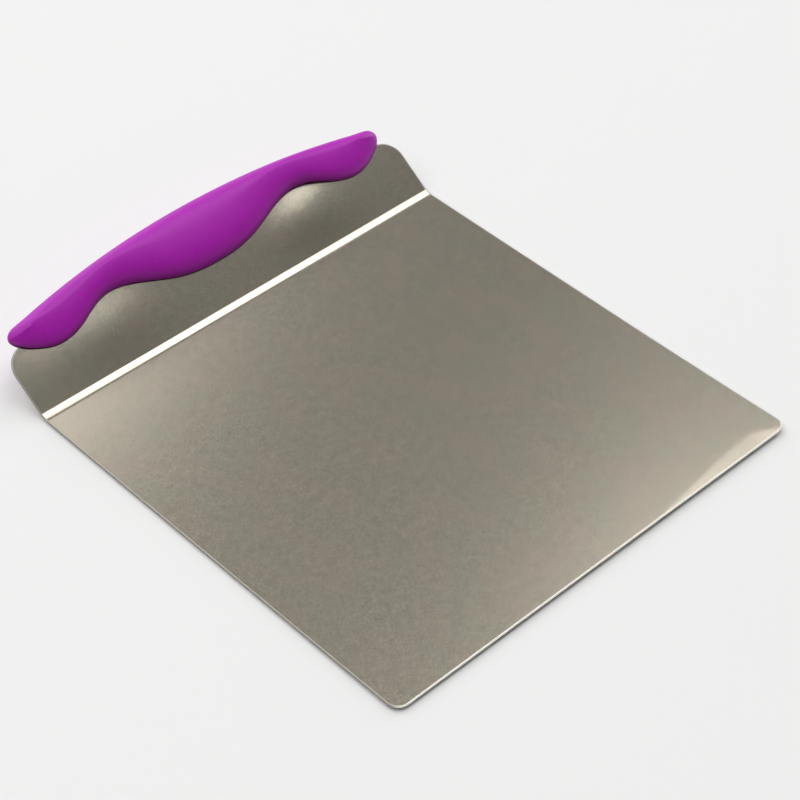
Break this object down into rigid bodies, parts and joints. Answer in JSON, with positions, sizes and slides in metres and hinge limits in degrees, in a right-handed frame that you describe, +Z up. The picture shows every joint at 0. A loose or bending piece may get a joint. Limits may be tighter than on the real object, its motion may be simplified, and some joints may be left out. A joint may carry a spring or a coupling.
{
  "type": "cake lifter",
  "caption": "Broad flat steel cake lifter with its rear edge bent up into a flange that carries a full-width moulded handle with finger notches.",
  "frame": {"origin": "on the table under the middle of the lifter's box, halfway across it and halfway from its leading edge to the back of its handle", "axes": "+X across the lifter, along the bend; +Y from the leading edge to the handle; +Z up"},
  "size_m": [0.255, 0.2962, 0.036],
  "materials": {
    "satin_steel": "satin, with a fine grain along the blade",
    "purple_plastic": "satin moulded plastic"
  },
  "bodies": {
    "root": {"blade": "satin_steel", "handle_front_shell": "purple_plastic", "handle_rear_shell": "purple_plastic"}
  },
  "joints": []
}
